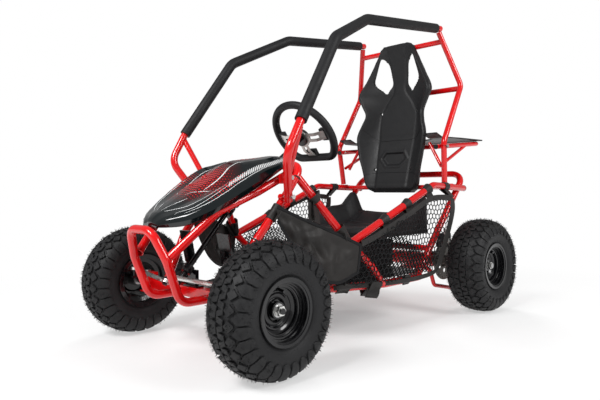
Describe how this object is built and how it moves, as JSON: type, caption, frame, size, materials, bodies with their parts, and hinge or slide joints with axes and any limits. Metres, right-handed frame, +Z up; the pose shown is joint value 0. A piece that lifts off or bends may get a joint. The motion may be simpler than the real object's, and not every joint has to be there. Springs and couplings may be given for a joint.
{
  "type": "kart chassis",
  "caption": "Off-road electric kart for a child: red tube frame with roll cage, knobbly tyres, tie-rod steering, chain-driven rear axle, bucket seat, hood, nets and rear rack.",
  "frame": {"origin": "on the ground, in the middle of the kart", "axes": "+Z up, the kart drives towards -Y, its left side is +X"},
  "size_m": [0.852, 1.49, 1.1539],
  "materials": {
    "frame_paint": "gloss",
    "foam": "matt",
    "black_paint": "gloss",
    "hood_plastic": "gloss",
    "black_plastic": "satin",
    "seat_plastic": "grained",
    "grip": "matt",
    "spoke_aluminium": "brushed",
    "zinc": "zinc plated",
    "bearing_steel": "ground",
    "tyre_rubber": "matt",
    "panel_fabric": "coated",
    "net_fabric": "knotted",
    "motor_casing": "satin",
    "chain_steel": "oiled",
    "spring_steel": "black oxide",
    "cast_caliper": "anodised"
  },
  "bodies": {
    "chassis": {"main_frame": "frame_paint", "rear_cage": "frame_paint", "rack_frame": "frame_paint", "roof_rail_left": "frame_paint", "roof_rail_right": "frame_paint", "foam_sleeve_left": "foam", "foam_sleeve_right": "foam", "rack_tray": "black_plastic", "tube_end_plugs": "black_plastic", "frame_bolts": "zinc", "hood": "hood_plastic", "seat_back": "seat_plastic", "seat_base": "seat_plastic", "floor_pan": "black_paint", "battery_pack": "black_plastic", "kingpin_bolts": "zinc", "column_bracket": "black_paint", "steering_foot_bearing": "black_paint", "pedal_brackets": "black_paint", "pedal_pivot_pins": "zinc", "brake_pedal_spring": "spring_steel", "accelerator_spring": "spring_steel", "rear_axle_bearings": "bearing_steel", "brake_caliper": "cast_caliper", "drive_motor": "motor_casing", "drive_chain": "chain_steel", "side_net_left": "net_fabric", "side_net_right": "net_fabric", "fabric_panel_left": "panel_fabric", "fabric_panel_right": "panel_fabric"},
    "steering_column": {"steering_shaft": "black_paint", "steering_spokes": "spoke_aluminium", "steering_grip": "grip", "steering_hub_pad": "grip"},
    "lower_steering": {"lower_steering_shaft": "black_paint", "universal_joint_cross": "bearing_steel"},
    "tie_rod_left": {"tie_rod_left": "zinc"},
    "tie_rod_right": {"tie_rod_right": "zinc"},
    "steering_knuckle_left": {"knuckle_left": "black_paint", "hub_nut_front_left": "zinc"},
    "steering_knuckle_right": {"knuckle_right": "black_paint", "hub_nut_front_right": "zinc"},
    "front_wheel_left": {"tyre_front_left": "tyre_rubber", "rim_front_left": "black_paint", "wheel_bearings_left": "bearing_steel"},
    "front_wheel_right": {"tyre_front_right": "tyre_rubber", "rim_front_right": "black_paint", "wheel_bearings_right": "bearing_steel"},
    "rear_axle_set": {"rear_axle": "bearing_steel", "tyre_rear_left": "tyre_rubber", "tyre_rear_right": "tyre_rubber", "rim_rear_left": "black_paint", "rim_rear_right": "black_paint", "rear_hub_nuts": "zinc", "brake_disc": "chain_steel", "axle_sprocket": "chain_steel"},
    "motor_shaft": {"motor_pinion": "chain_steel"},
    "accelerator": {"accelerator_pedal": "black_paint"},
    "brake": {"brake_pedal": "black_paint"},
    "brake_cable_lever": {"caliper_lever": "zinc"}
  },
  "joints": [
    {"name": "steering_wheel_turn", "type": "hinge", "parent": "chassis", "child": "steering_column", "pos_m": [0, -0.077, 0.677], "axis": [0, -0.8023, -0.597], "range_deg": [-30, 30]},
    {"name": "lower_shaft_turn", "type": "hinge", "parent": "chassis", "child": "lower_steering", "pos_m": [0, -0.417, 0.424], "axis": [0, -0.6668, -0.7452], "range_deg": [-30, 30]},
    {"name": "tie_rod_left_swing", "type": "hinge", "parent": "lower_steering", "child": "tie_rod_left", "pos_m": [0, -0.64412, 0.22477], "axis": [0, -0.6668, -0.7452], "range_deg": [-30, 30]},
    {"name": "tie_rod_right_swing", "type": "hinge", "parent": "lower_steering", "child": "tie_rod_right", "pos_m": [0, -0.64412, 0.22477], "axis": [0, -0.6668, -0.7452], "range_deg": [-30, 30]},
    {"name": "kingpin_left_turn", "type": "hinge", "parent": "chassis", "child": "steering_knuckle_left", "pos_m": [0.27, -0.556, 0.1775], "axis": [0, 0, -1], "range_deg": [-21.39, 21.39]},
    {"name": "kingpin_right_turn", "type": "hinge", "parent": "chassis", "child": "steering_knuckle_right", "pos_m": [-0.27, -0.556, 0.1775], "axis": [0, 0, -1], "range_deg": [-21.39, 21.39]},
    {"name": "front_wheel_left_spin", "type": "hinge", "parent": "steering_knuckle_left", "child": "front_wheel_left", "pos_m": [0.356, -0.556, 0.1775], "axis": [1, 0, 0], "continuous": true},
    {"name": "front_wheel_right_spin", "type": "hinge", "parent": "steering_knuckle_right", "child": "front_wheel_right", "pos_m": [-0.356, -0.556, 0.1775], "axis": [1, 0, 0], "continuous": true},
    {"name": "rear_axle_spin", "type": "hinge", "parent": "chassis", "child": "rear_axle_set", "pos_m": [0, 0.556, 0.1775], "axis": [1, 0, 0], "continuous": true},
    {"name": "motor_shaft_spin", "type": "hinge", "parent": "chassis", "child": "motor_shaft", "pos_m": [-0.181, 0.424, 0.238], "axis": [1, 0, 0], "continuous": true},
    {"name": "accelerator_press", "type": "hinge", "parent": "chassis", "child": "accelerator", "pos_m": [-0.1, -0.498, 0.215], "axis": [1, 0, 0], "range_deg": [0, 16], "deforming": ["accelerator_spring"]},
    {"name": "brake_press", "type": "hinge", "parent": "chassis", "child": "brake", "pos_m": [0.1, -0.498, 0.215], "axis": [1, 0, 0], "range_deg": [0, 16], "deforming": ["brake_pedal_spring"]},
    {"name": "brake_lever_pull", "type": "hinge", "parent": "chassis", "child": "brake_cable_lever", "pos_m": [0.205, 0.556, 0.252], "axis": [1, 0, 0], "range_deg": [0, 20]}
  ],
  "couplings": [
    {"joint": "lower_shaft_turn", "follows": "steering_wheel_turn", "ratio": 1},
    {"joint": "tie_rod_left_swing", "follows": "steering_wheel_turn", "ratio": -1},
    {"joint": "tie_rod_right_swing", "follows": "steering_wheel_turn", "ratio": -1},
    {"joint": "kingpin_left_turn", "follows": "steering_wheel_turn", "ratio": 0.7115},
    {"joint": "kingpin_right_turn", "follows": "steering_wheel_turn", "ratio": 0.7115},
    {"joint": "motor_shaft_spin", "follows": "rear_axle_spin", "ratio": 5},
    {"joint": "brake_lever_pull", "follows": "brake_press", "ratio": 1.25}
  ]
}
